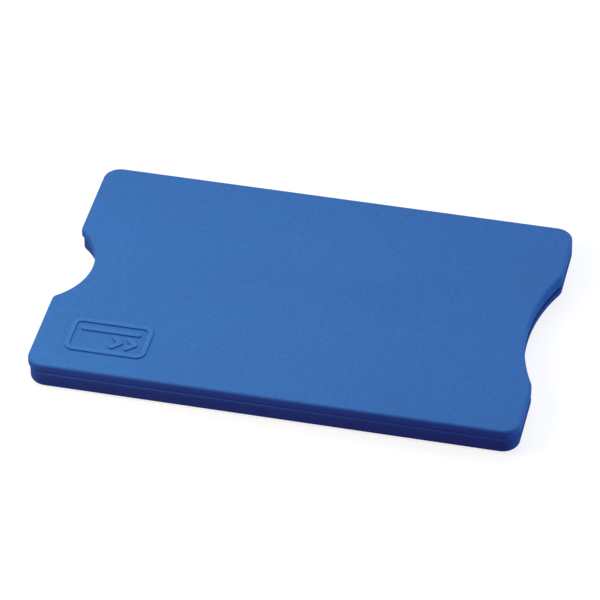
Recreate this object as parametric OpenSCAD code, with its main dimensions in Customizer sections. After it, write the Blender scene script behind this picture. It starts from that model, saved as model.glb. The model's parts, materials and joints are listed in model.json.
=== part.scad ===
// Rigid card sleeve: two moulded half shells, each with a shielding sheet bonded inside.
// The card lies flat in the bay between them. It goes in at the entry end (+X), and a thumb
// pushes it out through the small notch at the push end (-X).
// Origin: middle of the underside. X runs along the card, Y across it, Z up. The side at -Y
// is the front, with the raised mark and the gate mark near it.

/* [Card] */
// Length of the card that the bay holds
card_l = 85.6; // [60:0.1:120]
// Width of the card
card_w = 54; // [40:0.1:80]
// Thickness of the card
card_t = 0.76; // [0.5:0.01:1.2]
// Free space on each side of the card
side_gap = 0.3; // [0.25:0.05:0.6]
// Free height over the card
lift_gap = 0.09; // [0.05:0.01:0.3]
// How far the card's end lies inside the entry end
entry_setback = 2.4; // [0.5:0.1:5]

/* [Case] */
// Width of each side rail of the lower shell
rail_w = 2.8; // [2.4:0.1:5]
// Width of the wall that stops the card at the push end
stop_w = 2; // [1.6:0.1:4]
// Thickness of the floor under the card
floor_t = 1.65; // [1.2:0.05:3]
// Height of the rails over the floor
rail_h = 1.6; // [1.6:0.05:3]
// Thickness of the upper shell's rim over the rails
rim_t = 1.65; // [1.4:0.05:3]
// Thickness of the roof over the upper sheet
roof_t = 1.3; // [0.8:0.05:1.5]
// Radius of the corners in plan
corner_r = 3.2; // [2:0.1:6]
// Radius of the rounded edge round the top face
top_edge_r = 0.5; // [0.3:0.05:1.2]
// Radius of the rounded edge round the underside
bottom_edge_r = 0.9; // [0.3:0.05:1.1]
// Radius of the lower shell's outer edge at the seam
seam_edge_r = 0.5; // [0.1:0.05:0.6]
// Radius of the small edges that the moulds leave
mould_edge_r = 0.15; // [0.05:0.05:0.2]
// How far the lower shell stands back from the upper one at the push end
push_setback = 0.4; // [0.1:0.05:0.8]
// How far the upper shell stands back from the lower one at the two sides
side_setback = 0.2; // [0:0.05:0.3]

/* [Thumb notches] */
// Radius of the wide notch at the entry end
entry_notch_r = 37; // [25:0.5:60]
// Depth of the wide notch
entry_notch_depth = 3.55; // [2.5:0.05:5]
// Radius of the curve from the wide notch into the end
entry_blend_r = 2.65; // [1.3:0.05:4]
// Radius of the small notch at the push end
push_notch_r = 12.8; // [10:0.1:16]
// Depth of the small notch
push_notch_depth = 4.9; // [3:0.1:6]
// Radius of the curve from the small notch into the end
push_blend_r = 1.35; // [1.25:0.05:3]

/* [Shielding sheets] */
// Thickness of a sheet with its adhesive
sheet_t = 0.1; // [0.05:0.01:0.15]
// Depth of the floor's recess for the lower sheet
sheet_recess = 0.2; // [0.16:0.01:0.4]
// Width of the land that is left round each sheet
land_w = 2; // [1.2:0.1:4]
// Gap between a sheet and the walls of its recess
sheet_gap = 0.3; // [0.1:0.05:1]
// Radius of the recess's corners
recess_r = 2; // [1.1:0.1:4]

/* [Fit of the shells] */
// Gap between the upper shell's land and the rails
nest_gap = 0.1; // [0.05:0.01:0.3]
// Number of pegs along each rail
pegs_per_rail = 5; // [2:1:8]
// Distance from the case's ends to the outer pegs
peg_inset = 7; // [5:0.5:15]
// Diameter of a peg
peg_d = 1.2; // [0.8:0.05:1.4]
// Length of a peg
peg_l = 1.1; // [0.6:0.05:1.4]
// Gap round a peg and past its tip
peg_gap = 0.05; // [0.02:0.01:0.1]
// How far the guide ribs reach into the free space beside the card
guide_rib_h = 0.2; // [0.05:0.05:0.2]
// Radius of a guide rib
guide_rib_r = 0.6; // [0.4:0.1:1.5]
// Distance of the guide ribs from the entry end
guide_rib_inset = 16; // [8:1:30]

/* [Raised mark] */
// Length of the raised card outline
mark_l = 15.2; // [12:0.1:25]
// Width of the raised card outline
mark_w = 9.2; // [8:0.1:15]
// Distance of the mark from the push end
mark_end_gap = 5.6; // [4:0.1:10]
// Distance of the mark from the front side
mark_side_gap = 5.5; // [3:0.1:10]
// Width of the mark's lines
mark_line = 1; // [0.8:0.05:1.2]
// How far the mark stands up
mark_h = 0.3; // [0.1:0.05:0.4]
// Radius of the lines' upper edges
mark_edge_r = 0.15; // [0.05:0.05:0.3]
// Radius of the outline's corners, at the middle of the line
mark_corner_r = 1.4; // [0.8:0.1:2.5]
// Height and half width of an arrow head
mark_arrow = 1.35; // [0.8:0.05:1.5]

/* [Gate mark] */
// Diameter of the dimple round the gate mark on the front side
gate_dimple_d = 0.9; // [0.6:0.05:1.5]
// Diameter of the gate mark
gate_d = 0.5; // [0.3:0.05:0.6]
// Depth of the dimple
gate_depth = 0.12; // [0.05:0.01:0.3]
// Place of the gate mark along the side, from the middle
gate_x = -0.9; // [-20:0.1:20]

/* [Hidden] */
$fn = 96;
over = 1;

bay_w = card_w + 2 * side_gap;
slot_h = card_t + lift_gap;
case_l = stop_w + card_l + entry_setback;
case_w = bay_w + 2 * rail_w;
end_x = case_l / 2;
side_y = case_w / 2;
bay_y = bay_w / 2;
stop_x = stop_w - end_x;
seam_z = floor_t + rail_h;
case_h = seam_z + rim_t;
ceiling_z = floor_t + slot_h;
roof_z = case_h - roof_t;
peg_y = side_y - rail_w / 2;
peg_pitch = (case_l - 2 * peg_inset) / (pegs_per_rail - 1);
PEG_X = [for (i = [0 : pegs_per_rail - 1]) peg_inset - end_x + i * peg_pitch];

// A notch is given by its radius, its depth and the radius of its blend into the end.
ENTRY = [entry_notch_r, entry_notch_depth, entry_blend_r];
PUSH = [push_notch_r, push_notch_depth, push_blend_r];

// A blend crosses the walls that it joins at this angle in degrees, too flat to see
blend_crossing = 7;

// Distance from the blend's centre to the walls that it joins
function blend_reach(notch) = notch[2] * cos(blend_crossing);
// Centre of the notch, for an end whose straight line lies at x = ex
function notch_x(ex, notch) = ex + notch[0] - notch[1];
// Angle at the notch's centre between its axis and the line to the blend's centre
function notch_angle(notch) =
    acos((notch[0] - notch[1] + blend_reach(notch)) / (notch[0] + blend_reach(notch)));
// Centre of the blend on the +Y side of the notch
function blend_centre(ex, notch) =
    [ex - blend_reach(notch), (notch[0] + blend_reach(notch)) * sin(notch_angle(notch))];

// What a rounded corner takes off a square corner with its tip at the origin
module corner_cut(r) {
    if (r > 0) difference() {
        translate([-r, -r]) square(r + over);
        translate([-r, -r]) circle(r);
    }
}

// Half section of a round post through the slab, from its axis at x = 0 to x = r, with the
// slab's rounded edges; a hollow post is the hole that such edges run round
module post_section(r, low, high, low_r, high_r, hollow = false) {
    module edges() {
        translate([r, high]) mirror([hollow ? 1 : 0, 0]) corner_cut(high_r);
        translate([r, low]) mirror([hollow ? 1 : 0, 0]) mirror([0, 1]) corner_cut(low_r);
    }
    module bar() translate([0, low - over]) square([r, high - low + 2 * over]);
    if (hollow) {
        bar();
        edges();
    } else difference() {
        bar();
        edges();
    }
}

// What a rounded upper edge takes off a straight stretch that runs from the origin towards
// -Y, with its material at -X
module line_edge(length, r) {
    rotate([90, 0, 0]) linear_extrude(length) corner_cut(r);
}

// What the rounded upper edges take off a plate of the case's outline without its notches
module plate_edge(r, setback, side_back) {
    straight_x = case_l - setback - 2 * corner_r;
    straight_y = case_w - 2 * side_back - 2 * corner_r;
    middle = setback / 2;
    for (back = [0, 1]) mirror([0, back, 0])
        translate([middle - straight_x / 2, side_y - side_back, 0])
            rotate([0, 0, 90]) line_edge(straight_x, r);
    translate([middle, 0, 0]) for (push = [0, 1]) mirror([push, 0, 0]) {
        translate([straight_x / 2 + corner_r, straight_y / 2, 0]) line_edge(straight_y, r);
        for (back = [0, 1]) mirror([0, back, 0])
            translate([straight_x / 2, straight_y / 2, 0])
                rotate_extrude(angle = 90) translate([corner_r, 0]) corner_cut(r);
    }
}

// A plate with round corners and rounded edges, from the push end to the entry end
module plate(low, high, low_r, high_r, setback, side_back) {
    size = [case_l - setback, case_w - 2 * side_back];
    difference() {
        translate([setback - end_x, side_back - side_y, low]) linear_extrude(high - low) difference() {
            square(size);
            for (x = [0, 1], y = [0, 1])
                translate([x * size[0], y * size[1]])
                    mirror([1 - x, 0]) mirror([0, 1 - y]) corner_cut(corner_r);
        }
        if (low_r > 0) translate([0, 0, low]) mirror([0, 0, 1]) plate_edge(low_r, setback, side_back);
        if (high_r > 0) translate([0, 0, high]) plate_edge(high_r, setback, side_back);
    }
}

// What a notch takes out of the plate, with its blends and the rounded edges round them
module notch_cut(ex, notch, low, high, low_r, high_r) {
    translate([notch_x(ex, notch), 0, 0])
        rotate_extrude() post_section(notch[0], low, high, low_r, high_r, hollow = true);
    centre = blend_centre(ex, notch);
    towards_notch = [cos(notch_angle(notch)), -sin(notch_angle(notch))];
    far = notch[2] + over;
    for (back = [0, 1]) mirror([0, back, 0]) translate(centre) difference() {
        translate([0, 0, low - over / 2]) linear_extrude(high - low + over)
            polygon([[0, 0], [far, 0], [far, far * towards_notch[1]], far * towards_notch]);
        rotate_extrude() post_section(notch[2], low, high, low_r, high_r);
    }
}

// A slab of a shell's outline between two heights, with rounded lower and upper edges; it
// stands back by setback at the push end and by side_back at the sides
module slab(low, high, low_r, high_r, setback = 0, side_back = 0) {
    difference() {
        plate(low, high, low_r, high_r, setback, side_back);
        notch_cut(end_x, ENTRY, low, high, low_r, high_r);
        mirror([1, 0, 0]) notch_cut(end_x - setback, PUSH, low, high, low_r, high_r);
    }
}

// Plan of the bay, open past the entry end; gap draws it in from the rails and the stop
module bay_plan(gap = 0) {
    translate([stop_x + gap, gap - bay_y]) square([case_l, bay_w - 2 * gap]);
}

// Plan of the recess for a shielding sheet; gap draws it in
module sheet_plan(gap = 0) {
    low = [stop_x + land_w + gap, land_w + gap - bay_y];
    high = [end_x - land_w - gap, bay_y - land_w - gap];
    r = recess_r - gap;
    difference() {
        translate(low) square(high - low);
        for (x = [0, 1], y = [0, 1])
            translate([x ? high[0] : low[0], y ? high[1] : low[1]])
                mirror([1 - x, 0]) mirror([0, 1 - y]) corner_cut(r);
        translate([notch_x(end_x, ENTRY), 0]) circle(ENTRY[0] + land_w + gap);
        translate([-notch_x(end_x, PUSH), 0]) circle(PUSH[0] + land_w + gap);
    }
}

module at_pegs() {
    for (x = PEG_X, side = [-1, 1]) translate([x, side * peg_y, seam_z]) children();
}

// The side rails and the stop, rounded where they meet the seam outside
module rails() {
    root_z = floor_t - 2 * mould_edge_r;
    difference() {
        slab(root_z, seam_z, 0, seam_edge_r, push_setback);
        translate([0, 0, root_z - over]) linear_extrude(rail_h + 2 * over) bay_plan();
    }
}

// The part of the upper shell that reaches down between the rails and bounds the slot
module land() {
    root_z = seam_z + 2 * mould_edge_r;
    intersection() {
        slab(ceiling_z, root_z, mould_edge_r, 0);
        translate([0, 0, ceiling_z - over]) linear_extrude(rail_h + 2 * over) bay_plan(nest_gap);
    }
}

// The ribs on the rails that centre the card near the entry end
module guide_ribs() {
    height = slot_h - nest_gap / 2;
    for (side = [-1, 1])
        translate([end_x - guide_rib_inset, side * (bay_y + guide_rib_r - guide_rib_h), floor_t])
            cylinder(h = height, r = guide_rib_r);
}

// Cross-section of a raised line, with its rounded upper edges; it reaches below the surface
module line_section() {
    half = mark_line / 2 - mark_edge_r;
    translate([-mark_line / 2, -mark_h]) square([mark_line, 2 * mark_h - mark_edge_r]);
    translate([-half, -mark_h]) square([2 * half, 2 * mark_h]);
    for (side = [-1, 1]) translate([side * half, mark_h - mark_edge_r]) circle(mark_edge_r);
}

module raised_line(from, to) {
    run = to - from;
    translate(from) rotate([90, 0, 90 + atan2(run[1], run[0])])
        linear_extrude(norm(run)) line_section();
    for (end = [from, to]) translate(end) rotate_extrude() intersection() {
        line_section();
        translate([0, -mark_line]) square(2 * mark_line);
    }
}

// A quarter turn of raised line about the origin
module raised_corner(r) {
    rotate_extrude(angle = 90) translate([r, 0]) line_section();
}

// A card outline with a stripe, and two arrow heads that point towards the entry end
module raised_mark() {
    inner = [mark_l / 2 - mark_line / 2, mark_w / 2 - mark_line / 2];
    bend = inner - [mark_corner_r, mark_corner_r];
    for (x = [0, 1], y = [0, 1]) mirror([x, 0, 0]) mirror([0, y, 0])
        translate(bend) raised_corner(mark_corner_r);
    for (y = [-1, 1]) raised_line([-bend[0], y * inner[1]], [bend[0], y * inner[1]]);
    for (x = [-1, 1]) raised_line([x * inner[0], -bend[1]], [x * inner[0], bend[1]]);
    stripe_y = mark_w / 5;
    stripe_x = inner[0] - 2 * mark_line;
    raised_line([-stripe_x, stripe_y], [stripe_x, stripe_y]);
    arrow_y = stripe_y - mark_line - mark_arrow - mark_line / 2;
    for (tip = [stripe_x, stripe_x - 2 * mark_arrow], side = [-1, 1])
        raised_line([tip, arrow_y], [tip - mark_arrow, arrow_y + side * mark_arrow]);
}

// The dimple round the gate mark; the mark itself is what it leaves standing
module gate_dimple() {
    translate([gate_x, -side_y, floor_t]) rotate([90, 0, 0]) difference() {
        cylinder(h = 2 * gate_depth, d = gate_dimple_d, center = true);
        cylinder(h = 3 * gate_depth, d = gate_d, center = true);
    }
}

module lower_shell() color("#1f4f9e") {
    difference() {
        union() {
            slab(0, floor_t, bottom_edge_r, mould_edge_r, push_setback);
            rails();
        }
        translate([0, 0, floor_t - sheet_recess]) linear_extrude(2 * sheet_recess) sheet_plan();
        at_pegs() mirror([0, 0, 1]) translate([0, 0, -over])
            cylinder(h = peg_l + peg_gap + over, d = peg_d + 2 * peg_gap);
        gate_dimple();
    }
    guide_ribs();
}

module upper_shell() color("#2f62ad") {
    difference() {
        union() {
            slab(seam_z, case_h, mould_edge_r, top_edge_r, 0, side_setback);
            land();
        }
        translate([0, 0, ceiling_z - over]) linear_extrude(roof_z - ceiling_z + over) sheet_plan();
    }
    at_pegs() mirror([0, 0, 1]) translate([0, 0, -mould_edge_r])
        cylinder(h = peg_l + mould_edge_r, d = peg_d);
    translate([mark_end_gap + mark_l / 2 - end_x, mark_side_gap + mark_w / 2 - side_y, case_h])
        raised_mark();
}

module lower_shield() color("#b9bec4") {
    translate([0, 0, floor_t - sheet_recess]) linear_extrude(sheet_t) sheet_plan(sheet_gap);
}

module upper_shield() color("#b9bec4") {
    translate([0, 0, roof_z - sheet_t]) linear_extrude(sheet_t) sheet_plan(sheet_gap);
}

lower_shell();
upper_shell();
lower_shield();
upper_shield();
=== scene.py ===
"""A rigid card sleeve: two moulded half shells with a shielding foil inside each."""

import json
import math

import bmesh
import bpy
from bpy.props import FloatProperty, FloatVectorProperty, IntProperty, PointerProperty
from mathutils import Matrix, Vector


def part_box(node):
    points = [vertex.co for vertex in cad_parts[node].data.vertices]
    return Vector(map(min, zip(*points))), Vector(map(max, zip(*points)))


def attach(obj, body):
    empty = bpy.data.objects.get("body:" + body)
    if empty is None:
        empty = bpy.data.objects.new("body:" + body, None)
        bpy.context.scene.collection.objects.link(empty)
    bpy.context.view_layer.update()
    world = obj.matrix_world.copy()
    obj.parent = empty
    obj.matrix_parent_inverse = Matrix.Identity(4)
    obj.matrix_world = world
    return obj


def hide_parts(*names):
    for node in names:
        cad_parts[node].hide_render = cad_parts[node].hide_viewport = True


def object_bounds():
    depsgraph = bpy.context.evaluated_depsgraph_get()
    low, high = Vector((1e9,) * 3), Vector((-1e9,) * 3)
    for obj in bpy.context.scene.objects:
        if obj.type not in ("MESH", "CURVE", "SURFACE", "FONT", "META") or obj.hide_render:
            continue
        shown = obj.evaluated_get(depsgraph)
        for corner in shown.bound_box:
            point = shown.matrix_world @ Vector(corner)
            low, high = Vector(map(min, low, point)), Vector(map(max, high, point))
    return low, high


bl_info = {
    "name": "Card Sleeve",
    "version": (1, 0, 0),
    "blender": (4, 5, 0),
    "location": "3D View > Sidebar > Sleeve",
    "description": "Rigid card sleeve of two moulded half shells with shielding foils",
    "category": "Add Mesh",
}

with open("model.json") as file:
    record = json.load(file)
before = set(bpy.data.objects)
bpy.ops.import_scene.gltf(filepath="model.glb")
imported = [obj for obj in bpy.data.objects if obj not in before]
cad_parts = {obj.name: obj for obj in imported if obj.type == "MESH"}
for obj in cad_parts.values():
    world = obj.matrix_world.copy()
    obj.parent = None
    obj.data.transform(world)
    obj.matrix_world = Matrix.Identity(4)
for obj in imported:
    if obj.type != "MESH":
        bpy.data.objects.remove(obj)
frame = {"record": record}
CAD_LOW, CAD_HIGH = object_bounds()
TRAY_LOW, TRAY_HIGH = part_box("lower_shell")
COVER_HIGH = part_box("upper_shell")[1]
TOP_Z = next(m["pos_m"][2] for m in frame["record"]["mounts"] if m["name"] == "top_face")
MM = 0.001
PIXELS = 600
SENSOR = 36.0
WELD = 0.0005 * MM
SHARP_TURN = 1.0  # radians
CORNER_STEPS = 12
ROUND_STEPS = 12
NOTCH_STEPS = 16
ENTRY_BLEND_STEPS = 6
PUSH_BLEND_STEPS = 8
FOIL_NOTCH_STEPS = 256
POST_STEPS = 40
PEG_TIP = 0.25
PEG_TIP_STEPS = 3
GATE_STEPS = 32

# Facets of a rounded edge, for a radius below each size.
EDGE_STEPS = ((0.2 * MM, 4), (0.5 * MM, 6), (math.inf, 10))
# The border inside a rounded rim is the rim's radius over this.
BORDER_PARTS = 25

# Where the grain starts and is full, in radii of the edge in from the flat face.
TOP_GRAIN = (0.8, 0.02)
UNDERSIDE_GRAIN = (0.6, 0.1)

# Plastic: sizes of its patterns, and how much each changes the colour, relief and roughness.
PITS_SIZE = 0.45
PITS_RELIEF = 0.6
FLOW_SIZE = 16 * MM
FLOW_STRETCH = (0.6, 1, 1)
GRAIN_TONE = 1.4
PITS_TONE = 0.6
FLOW_TONE = 0.45
WALL_STIPPLE = 0.2
# Painted shade on the walls of the raised lines.
PAINTED_MARK_WALL_SHADE = 0.25
GRAIN_ROUGHNESS = 0.08
FLOW_ROUGHNESS = 0.05
PLASTIC_DARK = 0.80
PLASTIC_LIGHT = 1.20
PLASTIC_IOR = 1.5
PLASTIC_SPECULAR = 0.1

# Foil: sizes and shares of its rolling lines and waves.
LINE_SIZE = 0.12 * MM
LINE_STRETCH = (0.02, 1, 1)
LINE_TONE = 0.6
LINE_ROUGHNESS = 0.15
LINE_RELIEF = 0.1
WAVE_SIZE = 6 * MM
WAVE_TONE = 0.4
FOIL_ROUGHNESS = 0.25
FOIL_DARK = 0.9
FOIL_RELIEF = 0.02 * MM

WHITE = (1, 1, 1, 1)
FLOOR_SIZE = 6.0
FLOOR_DROP = 0.01 * MM
FLOOR_PALE = (0.30, 0.30, 0.30, 1)
FLOOR_GLOW = 0.80
FLOOR_BOUNCE = (0.36, 0.16, 0.42, 1)
WORLD_LIGHT = (0.35, 0.1, 1, 1)
WORLD_LEVEL = 0.06

# Lamps: name, azimuth and elevation in degrees, distance, size, power and colour.
LAMPS = (
    ("key", 298, 50, 0.16, 0.08, 0.145, (1, 0.87, 0.62)),
    ("back", 180, 50, 0.8, 0.55, 3.1, (0.85, 0.95, 1)),
    ("right", 98, 25, 0.8, 0.5, 3.3, (0.6, 0.85, 1)),
    ("left", 262, 25, 0.8, 0.5, 1.9, (0.6, 0.85, 1)),
    ("front", 5, 14, 0.8, 0.5, 1.0, (1, 0.18, 0.52)),
)


def length_property(name, description, value, **options):
    """A length in metres, shown in the scene's units."""
    return FloatProperty(
        name=name, description=description, default=value, unit="LENGTH", precision=5, **options
    )


def colour_property(name, description, value):
    """A linear colour."""
    return FloatVectorProperty(
        name=name, description=description, default=value, subtype="COLOR", min=0, max=1
    )


def factor_property(name, description, value, top=1.0):
    return FloatProperty(
        name=name, description=description, default=value, subtype="FACTOR", min=0, max=top
    )


class SleeveSizes(bpy.types.PropertyGroup):
    """Sizes of the sleeve; the outer ones come from the frame."""

    length: length_property("Length", "From end to end", CAD_HIGH.x - CAD_LOW.x)
    width: length_property("Width", "Across the card", CAD_HIGH.y - CAD_LOW.y)
    height: length_property("Height", "Height of the top face", TOP_Z)
    seam: length_property("Seam", "Height of the seam between the shells", TRAY_HIGH.z)
    setback: length_property(
        "Setback", "How far the lower shell stands back at the push end", TRAY_LOW.x - CAD_LOW.x
    )
    side_setback: length_property(
        "Side setback",
        "How far the upper shell stands back at the two sides",
        TRAY_HIGH.y - COVER_HIGH.y,
    )
    corner: length_property("Corners", "Radius of the corners in plan", 3.2 * MM)
    top_edge: length_property("Top edge", "Radius of the edge round the top face", 0.5 * MM)
    bottom_edge: length_property("Bottom edge", "Radius of the edge round the underside", 0.9 * MM)
    seam_edge: length_property("Seam edge", "Radius of the lower shell's edge at the seam", 0.5 * MM)
    mould_edge: length_property("Mould edge", "Radius of the small edges at the moulds", 0.15 * MM)
    entry_radius: length_property("Entry notch", "Radius of the wide notch", 37 * MM)
    entry_depth: length_property("Entry depth", "Depth of the wide notch", 3.55 * MM)
    entry_blend: length_property("Entry blend", "Curve from the wide notch to the end", 2.65 * MM)
    push_radius: length_property("Push notch", "Radius of the small notch", 12.8 * MM)
    push_depth: length_property("Push depth", "Depth of the small notch", 4.9 * MM)
    push_blend: length_property("Push blend", "Curve from the small notch to the end", 1.35 * MM)
    rail: length_property("Rail", "Width of each side rail", 2.8 * MM)
    stop: length_property("Stop", "Width of the wall that stops the card", 2 * MM)
    floor: length_property("Floor", "Thickness of the floor under the card", 1.65 * MM)
    slot: length_property("Slot", "Height of the card slot", 0.85 * MM)
    nest_gap: length_property("Nest gap", "Gap between the upper shell's land and the rails", 0.1 * MM)
    land: length_property("Land", "Width of the land round each foil", 2 * MM)
    recess: length_property("Recess", "Depth of the floor's recess for the foil", 0.2 * MM)
    recess_corner: length_property("Recess corners", "Radius of the recess's corners", 2 * MM)
    foil_gap: length_property("Foil gap", "Gap between a foil and its recess", 0.3 * MM)
    peg: length_property("Peg", "Diameter of a peg", 1.2 * MM)
    peg_length: length_property("Peg length", "Length of a peg below the seam", 1.1 * MM)
    peg_gap: length_property("Peg gap", "Gap round a peg and past its tip", 0.05 * MM)
    peg_inset: length_property("Peg inset", "From the ends to the outer pegs", 7 * MM)
    pegs: IntProperty(name="Pegs", description="Number of pegs on each rail", default=5, min=2)
    rib: length_property("Rib", "Radius of a guide rib", 0.6 * MM)
    rib_reach: length_property("Rib reach", "How far a guide rib stands out", 0.2 * MM)
    rib_inset: length_property("Rib inset", "From the entry end to the guide ribs", 16 * MM)
    mark_length: length_property("Mark length", "Length of the raised card outline", 15.2 * MM)
    mark_width: length_property("Mark width", "Width of the raised card outline", 9.2 * MM)
    mark_end_gap: length_property("Mark to end", "From the push end to the mark", 5.6 * MM)
    mark_side_gap: length_property("Mark to side", "From the front side to the mark", 5.5 * MM)
    mark_line: length_property("Mark line", "Width of the mark's lines", 1 * MM)
    mark_edge: length_property("Mark edge", "Radius of the lines' upper edges", 0.15 * MM)
    mark_corner: length_property("Mark corners", "Radius at the middle of the line", 1.4 * MM)
    mark_arrow: length_property("Arrow", "Height and half width of an arrow head", 1.35 * MM)
    gate: length_property("Gate", "Diameter of the gate mark", 0.5 * MM)
    gate_dimple: length_property("Gate dimple", "Diameter of the dimple round it", 0.9 * MM)
    gate_depth: length_property("Gate depth", "Depth of the dimple", 0.12 * MM)
    gate_x: length_property("Gate place", "From the middle along the side", -0.9 * MM)


class SleeveFinish(bpy.types.PropertyGroup):
    """Colours, textures and painted light and shade of the sleeve."""

    upper_colour: colour_property(
        "Upper shell", "Colour of the upper shell's plastic", (0.034, 0.148, 0.435)
    )
    # Darker than the upper shell's colour, partly as painted shade on the lower shell's walls.
    lower_colour_and_shade: colour_property(
        "Lower shell", "Colour of the lower shell's plastic", (0.028, 0.100, 0.335)
    )
    foil_colour: colour_property("Foil", "Colour of the shielding foil", (0.78, 0.79, 0.80))
    face_roughness: factor_property("Face roughness", "Roughness of the textured faces", 0.55)
    wall_roughness: factor_property("Wall roughness", "Roughness of the smooth side walls", 0.75)
    grain_size: length_property("Grain size", "Size of the moulded grain", 0.36 * MM)
    grain_depth: length_property("Grain depth", "Depth of the moulded grain", 0.08 * MM)
    # Painted highlight: raised lines are drawn lighter on top, for light that falls on them.
    crest_highlight: factor_property("Crest tone", "How much lighter raised lines are on top", 0.35)
    # Painted highlight: the rounded edge round the top face is drawn lighter, for light that catches
    # it.
    edge_highlight: factor_property("Edge tone", "How much lighter the edge round the top is", 0.6)
    smooth_angle: FloatProperty(
        name="Smooth angle",
        description="Edges that turn less than this are shaded smooth",
        default=math.radians(40),
        subtype="ANGLE",
    )


class SleeveStage(bpy.types.PropertyGroup):
    """Camera, floor and lamps."""

    azimuth: FloatProperty(
        name="Azimuth",
        description="Camera's turn from the front, towards the entry end",
        default=math.radians(12.583),
        subtype="ANGLE",
    )
    elevation: FloatProperty(
        name="Elevation",
        description="Camera's height over the horizon",
        default=math.radians(38.969),
        subtype="ANGLE",
    )
    distance: length_property("Distance", "From the camera to its target", 772.234 * MM)
    target: FloatVectorProperty(
        name="Target",
        description="Point that the camera looks at",
        default=(-1.857 * MM, 4.249 * MM, 0),
        subtype="TRANSLATION",
    )
    focal_pixels: FloatProperty(
        name="Focal length", description="Focal length in pixels of the picture", default=4185.73
    )
    light: factor_property("Light", "Level of all the lamps", 1.0, top=4)


class Value:
    """A number in a node tree that Python's operators work on."""

    def __init__(self, graph, socket):
        self.graph = graph
        self.socket = socket

    def math(self, operation, *values):
        made = self.graph.node("Math", {"operation": operation}, dict(enumerate(values)))
        return Value(self.graph, made.outputs[0])

    def __add__(self, other):
        return self.math("ADD", self, other)

    def __mul__(self, other):
        return self.math("MULTIPLY", self, other)

    def __sub__(self, other):
        return self.math("SUBTRACT", self, other)

    def __rsub__(self, other):
        return self.math("SUBTRACT", other, self)

    __radd__ = __add__
    __rmul__ = __mul__

    def smooth_step(self, low, high):
        """0 below low, 1 above high, and a smooth rise between them."""
        made = self.graph.node(
            "MapRange",
            {"interpolation_type": "SMOOTHSTEP"},
            {"Value": self, "From Min": low, "From Max": high},
        )
        return Value(self.graph, made.outputs["Result"])


class Graph:
    """The node tree of one material or of the world."""

    def __init__(self, owner):
        owner.use_nodes = True
        self.tree = owner.node_tree
        self.tree.nodes.clear()

    def node(self, kind, settings=None, sockets=None):
        """Adds a node, sets its settings, and then the values or links of its sockets."""
        made = self.tree.nodes.new("ShaderNode" + kind)
        for name, value in (settings or {}).items():
            setattr(made, name, value)
        for name, value in (sockets or {}).items():
            if isinstance(value, Value):
                value = value.socket
            if isinstance(value, bpy.types.NodeSocket):
                self.tree.links.new(value, made.inputs[name])
            else:
                made.inputs[name].default_value = value
        return made

    def object_place(self):
        return self.node("TexCoord").outputs["Object"]

    def height(self):
        """The height over the underside, in metres."""
        parts = self.node("SeparateXYZ", sockets={"Vector": self.object_place()})
        return Value(self, parts.outputs["Z"])

    def noise(self, size, detail, stretch=(1, 1, 1)):
        """A noise between 0 and 1 whose features are about size metres wide."""
        place = self.node("Mapping", sockets={"Vector": self.object_place(), "Scale": stretch})
        made = self.node(
            "TexNoise",
            {"noise_dimensions": "3D"},
            {"Vector": place.outputs[0], "Scale": 1 / size, "Detail": detail},
        )
        return Value(self, made.outputs["Fac"])

    def mix_colour(self, share, first, second):
        """The first colour where share is 0, and the second where it is 1."""
        made = self.node("Mix", {"data_type": "RGBA"})
        self.tree.links.new(share.socket, made.inputs["Factor"])
        for socket in made.inputs:
            if socket.type == "RGBA":
                colour = first if socket.identifier.startswith("A") else second
                socket.default_value = (*colour, 1)
        return next(s for s in made.outputs if s.type == "RGBA")

    def bump(self, height, depth):
        """A relief that is depth metres high where height goes from 0 to 1."""
        sockets = {"Height": height, "Distance": depth, "Strength": 1.0}
        return self.node("Bump", sockets=sockets).outputs["Normal"]

    def shown_white(self, lit, white):
        """The shader white where the camera, gloss or glass sees it, and lit for other light."""
        rays = self.node("LightPath").outputs
        seen = Value(self, rays["Is Camera Ray"])
        for kind in ("Is Glossy Ray", "Is Transmission Ray"):
            seen = seen.math("MAXIMUM", seen, Value(self, rays[kind]))
        return self.node("MixShader", sockets={"Fac": seen, 1: lit, 2: white}).outputs[0]

    def surface(self, shader):
        self.node("OutputMaterial", sockets={"Surface": shader})


def brighter(colour, factor):
    return tuple(min(1.0, c * factor) for c in colour)


def painted_raised_light(finish, height, grained, foot, top):
    """Painted light and shade at raised lines that stand from foot to top, and at the face's edge.

    The top of the lines and the edge are lighter as painted highlights, and the walls of the lines
    darker as painted shade."""
    third = (top - foot) / 3
    # Painted shade on the walls of the lines.
    wall_shade_mask = height.smooth_step(foot, foot + third)
    # Painted highlight on the tops of the lines.
    crest_highlight_mask = height.smooth_step(top - third, top - third / 4)
    # Painted highlight along the rounded edge round the face, where the grain fades in.
    edge = grained * (1 - grained) * 4
    # The tops' painted highlight also makes up for the walls' painted shade below them.
    crest_highlight = finish.crest_highlight + PAINTED_MARK_WALL_SHADE
    return edge * finish.edge_highlight - wall_shade_mask * PAINTED_MARK_WALL_SHADE + crest_highlight_mask * crest_highlight


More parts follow.
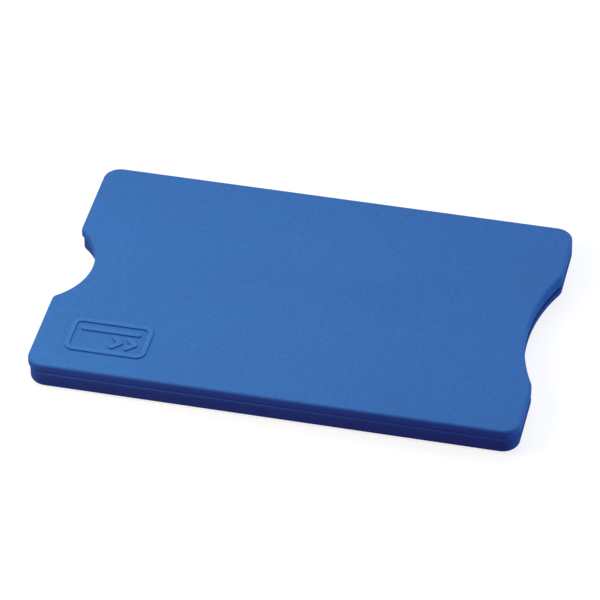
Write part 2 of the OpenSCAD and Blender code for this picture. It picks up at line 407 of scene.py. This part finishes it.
def moulded_plastic(name, finish, colour, grain_start, grain_full, raised=None):
    """Through-coloured plastic: fine grain on the large face, and smooth walls.

    The grain starts at one height and is full at the other, on the large face. raised gives
    the heights of the foot and the top of raised lines on that face; with it, the lines' tops and
    the face's edge get painted highlights and the lines' walls painted shade."""
    material = bpy.data.materials.new(name)
    graph = Graph(material)
    height = graph.height()
    grained = height.smooth_step(grain_start, grain_full)

    grain = graph.noise(finish.grain_size, 3.0)
    pits = graph.noise(finish.grain_size * PITS_SIZE, 1.0)
    flow = graph.noise(FLOW_SIZE, 2.0, FLOW_STRETCH)
    relief = (grain + pits * PITS_RELIEF) * grained

    stipple = (grain - 0.5) * GRAIN_TONE + (pits - 0.5) * PITS_TONE
    stippled = grained * (1 - WALL_STIPPLE) + WALL_STIPPLE
    shade = stipple * stippled + (flow - 0.5) * FLOW_TONE + 0.5
    if raised:
        # Painted highlights on the lines' tops and the face's edge, and painted shade on the lines'
        # walls.
        shade = shade + painted_raised_light(finish, height, grained, *raised)
    base = graph.mix_colour(shade, brighter(colour, PLASTIC_DARK), brighter(colour, PLASTIC_LIGHT))

    rough_rise = finish.face_roughness - finish.wall_roughness
    roughness = grained * rough_rise + finish.wall_roughness
    roughness = roughness + (grain - 0.5) * GRAIN_ROUGHNESS + (flow - 0.5) * FLOW_ROUGHNESS

    shader = graph.node(
        "BsdfPrincipled",
        sockets={
            "Base Color": base,
            "Roughness": roughness,
            "IOR": PLASTIC_IOR,
            "Specular IOR Level": PLASTIC_SPECULAR,
            "Normal": graph.bump(relief, finish.grain_depth),
        },
    )
    graph.surface(shader.outputs[0])
    return material


def rolled_foil(name, finish):
    """Aluminium foil with fine rolling lines along the card."""
    material = bpy.data.materials.new(name)
    graph = Graph(material)
    lines = graph.noise(LINE_SIZE, 2.0, LINE_STRETCH)
    waves = graph.noise(WAVE_SIZE, 2.0)
    shade = lines * LINE_TONE + waves * WAVE_TONE
    base = graph.mix_colour(shade, brighter(finish.foil_colour, FOIL_DARK), finish.foil_colour)
    shader = graph.node(
        "BsdfPrincipled",
        sockets={
            "Base Color": base,
            "Metallic": 1.0,
            "Roughness": lines * LINE_ROUGHNESS + FOIL_ROUGHNESS,
            "Normal": graph.bump(lines * LINE_RELIEF + waves, FOIL_RELIEF),
        },
    )
    graph.surface(shader.outputs[0])
    return material


def link(name, data):
    made = bpy.data.objects.new(name, data)
    bpy.context.scene.collection.objects.link(made)
    return made


class Pen:
    """Draws an outline of straight runs and arcs in the plane z = 0 of a bmesh."""

    def __init__(self, bm, x, y):
        self.bm = bm
        self.tip = bmesh.ops.create_vert(bm, co=(x, y, 0))["vert"][0]
        self.verts = [self.tip]

    def line(self, x, y):
        made = bmesh.ops.extrude_vert_indiv(self.bm, verts=[self.tip])
        self.tip = made["verts"][0]
        self.tip.co = (x, y, 0)
        self.verts.append(self.tip)

    def arc(self, x, y, degrees, steps):
        """Turns the tip round x, y; a positive angle turns to the left."""
        before = set(self.bm.verts)
        made = bmesh.ops.spin(
            self.bm,
            geom=[self.tip],
            cent=(x, y, 0),
            axis=(0, 0, 1),
            angle=math.radians(degrees),
            steps=steps,
        )
        self.verts.extend(v for v in self.bm.verts if v not in before)
        self.tip = next(v for v in made["geom_last"] if isinstance(v, bmesh.types.BMVert))

    def close(self):
        """Joins the tip to the start and fills the outline."""
        bmesh.ops.remove_doubles(self.bm, verts=self.verts, dist=WELD)
        edges = {e for v in self.verts if v.is_valid for e in v.link_edges}
        return bmesh.ops.contextual_create(self.bm, geom=list(edges))["faces"][0]


class Notch:
    """A thumb notch in an end, with the curves that lead into it."""

    def __init__(self, radius, depth, blend):
        self.radius = radius
        self.depth = depth
        self.blend = blend
        self.angle = math.acos((radius - depth + blend) / (radius + blend))

    def centre_x(self, end):
        """Place of the notch's centre, for an end at x = end."""
        return end + self.radius - self.depth

    def blend_centre(self, end):
        return end - self.blend, (self.radius + self.blend) * math.sin(self.angle)


def notches(sizes):
    return (
        Notch(sizes.entry_radius, sizes.entry_depth, sizes.entry_blend),
        Notch(sizes.push_radius, sizes.push_depth, sizes.push_blend),
    )


def sleeve_outline(bm, sizes, setback, side_setback):
    """The outline with both notches; it stands back at the push end and at the sides."""
    end, side, corner = sizes.length / 2, sizes.width / 2 - side_setback, sizes.corner
    back = end - setback
    entry, push = notches(sizes)
    pen = Pen(bm, end - entry.depth, 0)
    pen.arc(entry.centre_x(end), 0, -math.degrees(entry.angle), NOTCH_STEPS)
    pen.arc(*entry.blend_centre(end), math.degrees(entry.angle), ENTRY_BLEND_STEPS)
    pen.line(end, side - corner)
    pen.arc(end - corner, side - corner, 90, CORNER_STEPS)
    pen.line(corner - back, side)
    pen.arc(corner - back, side - corner, 90, CORNER_STEPS)
    push_x, push_y = push.blend_centre(back)
    pen.line(-back, push_y)
    pen.arc(-push_x, push_y, math.degrees(push.angle), PUSH_BLEND_STEPS)
    pen.arc(-push.centre_x(back), 0, -math.degrees(push.angle), NOTCH_STEPS)
    bmesh.ops.mirror(bm, geom=bm.verts[:] + bm.edges[:], axis="Y", merge_dist=WELD)
    bmesh.ops.remove_doubles(bm, verts=bm.verts, dist=WELD)
    return bmesh.ops.contextual_create(bm, geom=bm.edges[:])["faces"][0]


def raise_faces(bm, faces, low, high):
    """Turns flat faces at z = 0 into a solid from low to high."""
    bmesh.ops.translate(bm, verts=bm.verts, vec=(0, 0, low))
    made = bmesh.ops.extrude_face_region(bm, geom=faces, use_keep_orig=True)
    lifted = [v for v in made["geom"] if isinstance(v, bmesh.types.BMVert)]
    bmesh.ops.translate(bm, verts=lifted, vec=(0, 0, high - low))
    bmesh.ops.recalc_face_normals(bm, faces=bm.faces)


def at_height(verts, z):
    return all(abs(v.co.z - z) < WELD for v in verts)


def round_edges(bm, edges, radius):
    """Rounds edges to a radius, with more facets on a larger one."""
    bmesh.ops.bevel(
        bm,
        geom=edges,
        offset=radius,
        offset_type="OFFSET",
        affect="EDGES",
        segments=next(steps for size, steps in EDGE_STEPS if radius < size),
        profile=0.5,
        material=-1,
    )


def round_rim(bm, z, radius, spared=()):
    """Rounds the sharp edges at height z, but not those that lie on the spared planes.

    A spared plane is an axis and a distance, and stands for both signs of it. A narrow
    border inside the rim keeps the face between the edges flat."""
    edges = []
    for edge in bm.edges:
        middle = (edge.verts[0].co + edge.verts[1].co) / 2
        on_plane = any(abs(abs(middle[axis]) - place) < WELD for axis, place in spared)
        if at_height(edge.verts, z) and not on_plane and edge.calc_face_angle(0) > SHARP_TURN:
            edges.append(edge)
    round_edges(bm, edges, radius)
    if not spared:
        flat = [f for f in bm.faces if at_height(f.verts, z)]
        border = radius / BORDER_PARTS
        bmesh.ops.inset_region(bm, faces=flat, thickness=border, use_even_offset=True)


def rework(piece, change, *values):
    """Calls change on a bmesh of the piece, with the values."""
    bm = bmesh.new()
    bm.from_mesh(piece.data)
    change(bm, *values)
    bm.to_mesh(piece.data)
    bm.free()


def solid(name, bm):
    """Ends a bmesh as an object."""
    bmesh.ops.recalc_face_normals(bm, faces=bm.faces)
    mesh = bpy.data.meshes.new(name)
    bm.to_mesh(mesh)
    bm.free()
    return link(name, mesh)


def slab(sizes, low, high, setback=0.0, side_setback=0.0):
    """A plate of the sleeve's outline."""
    bm = bmesh.new()
    raise_faces(bm, [sleeve_outline(bm, sizes, setback, side_setback)], low, high)
    return solid("slab", bm)


def block(low, high):
    """A box between two corners."""
    bm = bmesh.new()
    bmesh.ops.create_cube(bm, size=1)
    middle = (Vector(low) + Vector(high)) / 2
    size = Vector(high) - Vector(low)
    bmesh.ops.transform(
        bm, matrix=Matrix.Translation(middle) @ Matrix.Diagonal((*size, 1)), verts=bm.verts
    )
    return solid("block", bm)


def posts(places, radius, low, high, segments=POST_STEPS, tip=0.0):
    """Round posts at the places, with the edge of their lower end bevelled by tip."""
    bm = bmesh.new()
    for x, y in places:
        made = bmesh.ops.create_cone(
            bm,
            cap_ends=True,
            segments=segments,
            radius1=radius,
            radius2=radius,
            depth=high - low,
            matrix=Matrix.Translation((x, y, (low + high) / 2)),
        )
        if tip:
            rim = {e for v in made["verts"] for e in v.link_edges}
            rim = [e for e in rim if all(abs(v.co.z - low) < WELD for v in e.verts)]
            bmesh.ops.bevel(
                bm,
                geom=rim,
                offset=tip,
                affect="EDGES",
                segments=PEG_TIP_STEPS,
                profile=0.5,
                material=-1,
            )
    return solid("posts", bm)


def combine(body, tool, operation):
    """Joins, cuts or trims body with tool, which is used up."""
    modifier = body.modifiers.new(operation, "BOOLEAN")
    modifier.operation = operation
    modifier.solver = "MANIFOLD"
    modifier.object = tool
    seen = body.evaluated_get(bpy.context.evaluated_depsgraph_get())
    mesh = bpy.data.meshes.new_from_object(seen)
    body.modifiers.remove(modifier)
    spent = [body.data, tool.data]
    body.data = mesh
    bpy.data.objects.remove(tool)
    for old in spent:
        bpy.data.meshes.remove(old)


def bay_walls(sizes, gap=0.0):
    """Distances from the middle to the bay's side walls and to the stop."""
    return sizes.width / 2 - sizes.rail - gap, sizes.length / 2 - sizes.stop - gap


def bay(sizes, low, high, gap=0.0):
    """The space between the rails, open past the entry end; gap draws it in."""
    side, stop = bay_walls(sizes, gap)
    return block((-stop, -side, low), (sizes.length, side, high))


def rounded_rectangle(bm, start, end, side, corner):
    """A flat face from x = start to end, side wide on both sides of the axis."""
    pen = Pen(bm, end, corner - side)
    pen.line(end, side - corner)
    pen.arc(end - corner, side - corner, 90, CORNER_STEPS)
    pen.line(start + corner, side)
    pen.arc(start + corner, side - corner, 90, CORNER_STEPS)
    pen.line(start, corner - side)
    pen.arc(start + corner, corner - side, 90, CORNER_STEPS)
    pen.line(end - corner, -side)
    pen.arc(end - corner, corner - side, 90, CORNER_STEPS)
    return pen.close()


def foil_plate(sizes, low, high, gap=0.0):
    """A plate of the foil recess's outline; gap draws it in."""
    side = sizes.width / 2 - sizes.rail - sizes.land - gap
    start = sizes.stop + sizes.land + gap - sizes.length / 2
    end = sizes.length / 2 - sizes.land - gap
    corner = sizes.recess_corner - gap
    bm = bmesh.new()
    raise_faces(bm, [rounded_rectangle(bm, start, end, side, corner)], low, high)
    plate = solid("foil", bm)
    entry, push = notches(sizes)
    clear = sizes.land + gap
    half = sizes.length / 2
    for x, notch in ((entry.centre_x(half), entry), (-push.centre_x(half), push)):
        cut = posts([(x, 0)], notch.radius + clear, low - MM, high + MM, FOIL_NOTCH_STEPS)
        combine(plate, cut, "DIFFERENCE")
    return plate


def peg_places(sizes):
    """Places of the pegs, evenly spaced along both rails."""
    y = (sizes.width - sizes.rail) / 2
    pitch = (sizes.length - 2 * sizes.peg_inset) / (sizes.pegs - 1)
    start = sizes.peg_inset - sizes.length / 2
    return [(start + i * pitch, side * y) for i in range(sizes.pegs) for side in (-1, 1)]


def gate_ring(sizes):
    """The ring that is cut round the gate mark on the front side."""
    bm = bmesh.new()
    front = -sizes.width / 2
    pen = Pen(bm, sizes.gate / 2, front - sizes.gate_depth)
    pen.line(sizes.gate_dimple / 2, front - sizes.gate_depth)
    pen.line(sizes.gate_dimple / 2, front + sizes.gate_depth)
    pen.line(sizes.gate / 2, front + sizes.gate_depth)
    pen.line(sizes.gate / 2, front - sizes.gate_depth)
    face = pen.close()
    bmesh.ops.delete(bm, geom=[face], context="FACES_ONLY")
    bmesh.ops.spin(
        bm,
        geom=bm.edges[:] + bm.verts[:],
        cent=(0, 0, 0),
        axis=(0, 1, 0),
        angle=math.tau,
        steps=GATE_STEPS,
        use_merge=True,
    )
    bmesh.ops.remove_doubles(bm, verts=bm.verts, dist=WELD)
    bmesh.ops.translate(bm, verts=bm.verts, vec=(sizes.gate_x, 0, sizes.floor))
    return solid("gate", bm)


def mark_frame(bm, sizes):
    """The outline of a card, as a ring of faces."""
    half = sizes.mark_line / 2
    end, side, corner = sizes.mark_length / 2, sizes.mark_width / 2, sizes.mark_corner
    outer = rounded_rectangle(bm, -end, end, side, corner + half)
    end, side = end - sizes.mark_line, side - sizes.mark_line
    inner = rounded_rectangle(bm, -end, end, side, corner - half)
    edges = list(outer.edges) + list(inner.edges)
    bmesh.ops.delete(bm, geom=[outer, inner], context="FACES_ONLY")
    return bmesh.ops.bridge_loops(bm, edges=edges)["faces"]


def stripe_y(sizes):
    """How far the stripe lies behind the middle of the card outline."""
    return sizes.mark_width / 5


def mark_stripe(bm, sizes):
    """A bar with round ends along the card outline."""
    half = sizes.mark_line / 2
    y = stripe_y(sizes)
    x = sizes.mark_length / 2 - half - 2 * sizes.mark_line
    pen = Pen(bm, -x, y - half)
    pen.line(x, y - half)
    pen.arc(x, y, 180, ROUND_STEPS)
    pen.line(-x, y + half)
    pen.arc(-x, y, 180, ROUND_STEPS)
    return [pen.close()]


def mark_arrow(bm, x, y, sizes):
    """An arrow head with round ends that points towards the entry end."""
    arm = sizes.mark_arrow
    half = sizes.mark_line / 2
    slant = half * math.sqrt(0.5)
    pen = Pen(bm, x - arm + slant, y + arm + slant)
    pen.line(x + slant, y + slant)
    pen.arc(x, y, -90, ROUND_STEPS // 2)
    pen.line(x - arm + slant, y - arm - slant)
    pen.arc(x - arm, y - arm, -180, ROUND_STEPS)
    pen.line(x - 2 * slant, y)
    pen.line(x - arm - slant, y + arm - slant)
    pen.arc(x - arm, y + arm, -180, ROUND_STEPS)
    return [pen.close()]


def raised_mark(sizes):
    """A plain card outline with a stripe and two arrow heads, raised over the top face."""
    line, arm = sizes.mark_line, sizes.mark_arrow
    tip_x = sizes.mark_length / 2 - 2.5 * line
    tip_y = stripe_y(sizes) - 1.5 * line - arm
    bm = bmesh.new()
    faces = mark_frame(bm, sizes) + mark_stripe(bm, sizes)
    faces += mark_arrow(bm, tip_x, tip_y, sizes) + mark_arrow(bm, tip_x - 2 * arm, tip_y, sizes)
    raise_faces(bm, faces, sizes.height - sizes.mould_edge, CAD_HIGH.z)
    round_rim(bm, CAD_HIGH.z, sizes.mark_edge)
    x = sizes.mark_end_gap + (sizes.mark_length - sizes.length) / 2
    y = sizes.mark_side_gap + (sizes.mark_width - sizes.width) / 2
    bmesh.ops.translate(bm, verts=bm.verts, vec=(x, y, 0))
    return solid("mark", bm)


def finish_piece(piece, name, node, material, finish):
    """Names a piece, shades it, and puts it in its node's place."""
    piece.name = piece.data.name = name
    mesh = piece.data
    mesh.materials.clear()
    mesh.materials.append(material)
    mesh.polygons.foreach_set("use_smooth", [True] * len(mesh.polygons))
    mesh.polygons.foreach_set("material_index", [0] * len(mesh.polygons))
    mesh.set_sharp_from_angle(angle=finish.smooth_angle)
    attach(piece, "root")
    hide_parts(node)


class SLEEVE_OT_upper_shell(bpy.types.Operator):
    """Build the upper shell with its land, pegs and raised mark"""

    bl_idname = "sleeve.upper_shell"
    bl_label = "Upper Shell"

    def execute(self, context):
        sizes = context.scene.sleeve_sizes
        finish = context.scene.sleeve_finish
        ceiling = sizes.floor + sizes.slot
        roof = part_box("upper_shield")[1].z
        shell = slab(sizes, ceiling, sizes.height, side_setback=sizes.side_setback)
        rework(shell, round_rim, sizes.height, sizes.top_edge)
        far = (sizes.length, sizes.width)
        under_rim = block((*(-x for x in far), 0), (*far, sizes.seam))
        combine(under_rim, bay(sizes, -MM, sizes.height, sizes.nest_gap), "DIFFERENCE")
        combine(shell, under_rim, "DIFFERENCE")
        side, stop = bay_walls(sizes, sizes.nest_gap)
        for level in (sizes.seam, ceiling):
            rework(shell, round_rim, level, sizes.mould_edge, ((1, side), (0, stop)))
        combine(shell, foil_plate(sizes, ceiling - MM, roof), "DIFFERENCE")
        tip = sizes.seam - sizes.peg_length
        radius = sizes.peg / 2
        root = sizes.seam + sizes.mould_edge
        pegs = posts(peg_places(sizes), radius, tip, root, tip=radius * PEG_TIP)
        combine(shell, pegs, "UNION")
        combine(shell, raised_mark(sizes), "UNION")
        grain = (sizes.height - share * sizes.top_edge for share in TOP_GRAIN)
        raised = (sizes.height, CAD_HIGH.z)
        colour = finish.upper_colour[:]
        plastic = moulded_plastic("upper_moulding", finish, colour, *grain, raised)
        finish_piece(shell, "upper_cover", "upper_shell", plastic, finish)
        return {"FINISHED"}


class SLEEVE_OT_lower_shell(bpy.types.Operator):
    """Build the lower shell with its rails, stop, sockets and guide ribs"""

    bl_idname = "sleeve.lower_shell"
    bl_label = "Lower Shell"

    def execute(self, context):
        sizes = context.scene.sleeve_sizes
        finish = context.scene.sleeve_finish
        shell = slab(sizes, 0, sizes.seam, sizes.setback)
        rework(shell, round_rim, 0, sizes.bottom_edge)
        combine(shell, bay(sizes, sizes.floor, sizes.height), "DIFFERENCE")
        side, stop = bay_walls(sizes)
        walls = ((1, side), (0, stop))
        rework(shell, round_rim, sizes.seam, sizes.seam_edge, walls)
        rework(shell, round_rim, sizes.floor, sizes.mould_edge, walls)
        recess = sizes.floor - sizes.recess
        combine(shell, foil_plate(sizes, recess, sizes.floor + MM), "DIFFERENCE")
        bottom = sizes.seam - sizes.peg_length - sizes.peg_gap
        radius = sizes.peg / 2 + sizes.peg_gap
        combine(shell, posts(peg_places(sizes), radius, bottom, sizes.height), "DIFFERENCE")
        combine(shell, gate_ring(sizes), "DIFFERENCE")
        x = sizes.length / 2 - sizes.rib_inset
        y = sizes.width / 2 - sizes.rail + sizes.rib - sizes.rib_reach
        top = sizes.floor + sizes.slot - sizes.nest_gap / 2
        ribs = posts([(x, -y), (x, y)], sizes.rib, sizes.floor - sizes.mould_edge, top)
        combine(shell, ribs, "UNION")
        grain = (share * sizes.bottom_edge for share in UNDERSIDE_GRAIN)
        # The lower shell's colour holds painted shade as well as its own tone.
        plastic = moulded_plastic("lower_moulding", finish, finish.lower_colour_and_shade[:], *grain)
        finish_piece(shell, "lower_tray", "lower_shell", plastic, finish)
        return {"FINISHED"}


class SLEEVE_OT_shields(bpy.types.Operator):
    """Build the two shielding foils"""

    bl_idname = "sleeve.shields"
    bl_label = "Shielding Foils"

    def execute(self, context):
        sizes = context.scene.sleeve_sizes
        finish = context.scene.sleeve_finish
        material = rolled_foil("rolled_foil", finish)
        for node, name in (("lower_shield", "lower_foil"), ("upper_shield", "upper_foil")):
            low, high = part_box(node)
            piece = foil_plate(sizes, low.z, high.z, sizes.foil_gap)
            finish_piece(piece, name, node, material, finish)
        return {"FINISHED"}


def direction(azimuth, elevation):
    """Towards a place seen from the middle; azimuth is counted from the front, towards +X."""
    flat = math.cos(elevation)
    return Vector((math.sin(azimuth) * flat, -math.cos(azimuth) * flat, math.sin(elevation)))


def aim(thing, place, target):
    thing.location = place
    thing.rotation_euler = (target - place).to_track_quat("-Z", "Y").to_euler()


def camera(stage):
    data = bpy.data.cameras.new("Camera")
    data.sensor_width = SENSOR
    data.lens = stage.focal_pixels * SENSOR / PIXELS
    data.clip_start = 0.01
    data.clip_end = 20
    made = link("Camera", data)
    target = Vector(stage.target)
    back = direction(stage.azimuth, stage.elevation)
    aim(made, target + back * stage.distance, target)
    bpy.context.scene.camera = made


def softbox(name, azimuth, elevation, distance, size, power, colour):
    """An area lamp that looks at the sleeve; angles in degrees, power in watts."""
    data = bpy.data.lights.new(name, "AREA")
    data.shape = "SQUARE"
    data.size = size
    data.energy = power
    data.color = colour
    made = link(name, data)
    made.visible_camera = False
    aim(made, direction(math.radians(azimuth), math.radians(elevation)) * distance, Vector())


def floor():
    """A pale floor that shows white with a faint shadow, and throws little light upwards."""
    bm = bmesh.new()
    bmesh.ops.create_grid(bm, x_segments=1, y_segments=1, size=FLOOR_SIZE)
    bmesh.ops.translate(bm, verts=bm.verts, vec=(0, 0, -FLOOR_DROP))
    mesh = bpy.data.meshes.new("floor")
    bm.to_mesh(mesh)
    bm.free()
    piece = link("floor", mesh)
    material = bpy.data.materials.new("floor")
    graph = Graph(material)
    pale = graph.node("BsdfDiffuse", sockets={"Color": FLOOR_PALE})
    glow = graph.node("Emission", sockets={"Color": WHITE, "Strength": FLOOR_GLOW})
    shown = graph.node("AddShader", sockets={0: pale.outputs[0], 1: glow.outputs[0]})
    bounce = graph.node("BsdfDiffuse", sockets={"Color": FLOOR_BOUNCE})
    graph.surface(graph.shown_white(bounce.outputs[0], shown.outputs[0]))
    mesh.materials.append(material)


def surroundings():
    """A world that shows white, and lights the sleeve only dimly."""
    world = bpy.data.worlds.new("Studio")
    bpy.context.scene.world = world
    graph = Graph(world)
    dim = graph.node("Background", sockets={"Color": WORLD_LIGHT, "Strength": WORLD_LEVEL})
    white = graph.node("Background", sockets={"Color": WHITE, "Strength": 1.0})
    shown = graph.shown_white(dim.outputs[0], white.outputs[0])
    graph.node("OutputWorld", sockets={"Surface": shown})


class SLEEVE_OT_stage(bpy.types.Operator):
    """Set up the camera, the pale floor and the soft lamps"""

    bl_idname = "sleeve.stage"
    bl_label = "Stage"

    def execute(self, context):
        stage = context.scene.sleeve_stage
        context.scene.view_settings.view_transform = "Standard"
        camera(stage)
        floor()
        surroundings()
        for *form, power, colour in LAMPS:
            softbox(*form, power * stage.light, colour)
        return {"FINISHED"}


class SLEEVE_PT_panel(bpy.types.Panel):
    """Buttons and values of the sleeve"""

    bl_label = "Card Sleeve"
    bl_idname = "SLEEVE_PT_panel"
    bl_space_type = "VIEW_3D"
    bl_region_type = "UI"
    bl_category = "Sleeve"

    def draw(self, context):
        layout = self.layout
        for operator in OPERATORS:
            layout.operator(operator.bl_idname)
        scene = context.scene
        for group in (scene.sleeve_sizes, scene.sleeve_finish, scene.sleeve_stage):
            box = layout.box()
            for name in group.__annotations__:
                box.prop(group, name)


OPERATORS = (
    SLEEVE_OT_stage,
    SLEEVE_OT_lower_shell,
    SLEEVE_OT_shields,
    SLEEVE_OT_upper_shell,
)
CLASSES = (SleeveSizes, SleeveFinish, SleeveStage, *OPERATORS, SLEEVE_PT_panel)


def register():
    for item in CLASSES:
        bpy.utils.register_class(item)
    bpy.types.Scene.sleeve_sizes = PointerProperty(type=SleeveSizes)
    bpy.types.Scene.sleeve_finish = PointerProperty(type=SleeveFinish)
    bpy.types.Scene.sleeve_stage = PointerProperty(type=SleeveStage)


def unregister():
    del bpy.types.Scene.sleeve_stage
    del bpy.types.Scene.sleeve_finish
    del bpy.types.Scene.sleeve_sizes
    for item in reversed(CLASSES):
        bpy.utils.unregister_class(item)


def main():
    register()
    bpy.ops.sleeve.stage()
    bpy.ops.sleeve.lower_shell()
    bpy.ops.sleeve.shields()
    bpy.ops.sleeve.upper_shell()


if __name__ == "__main__":
    main()
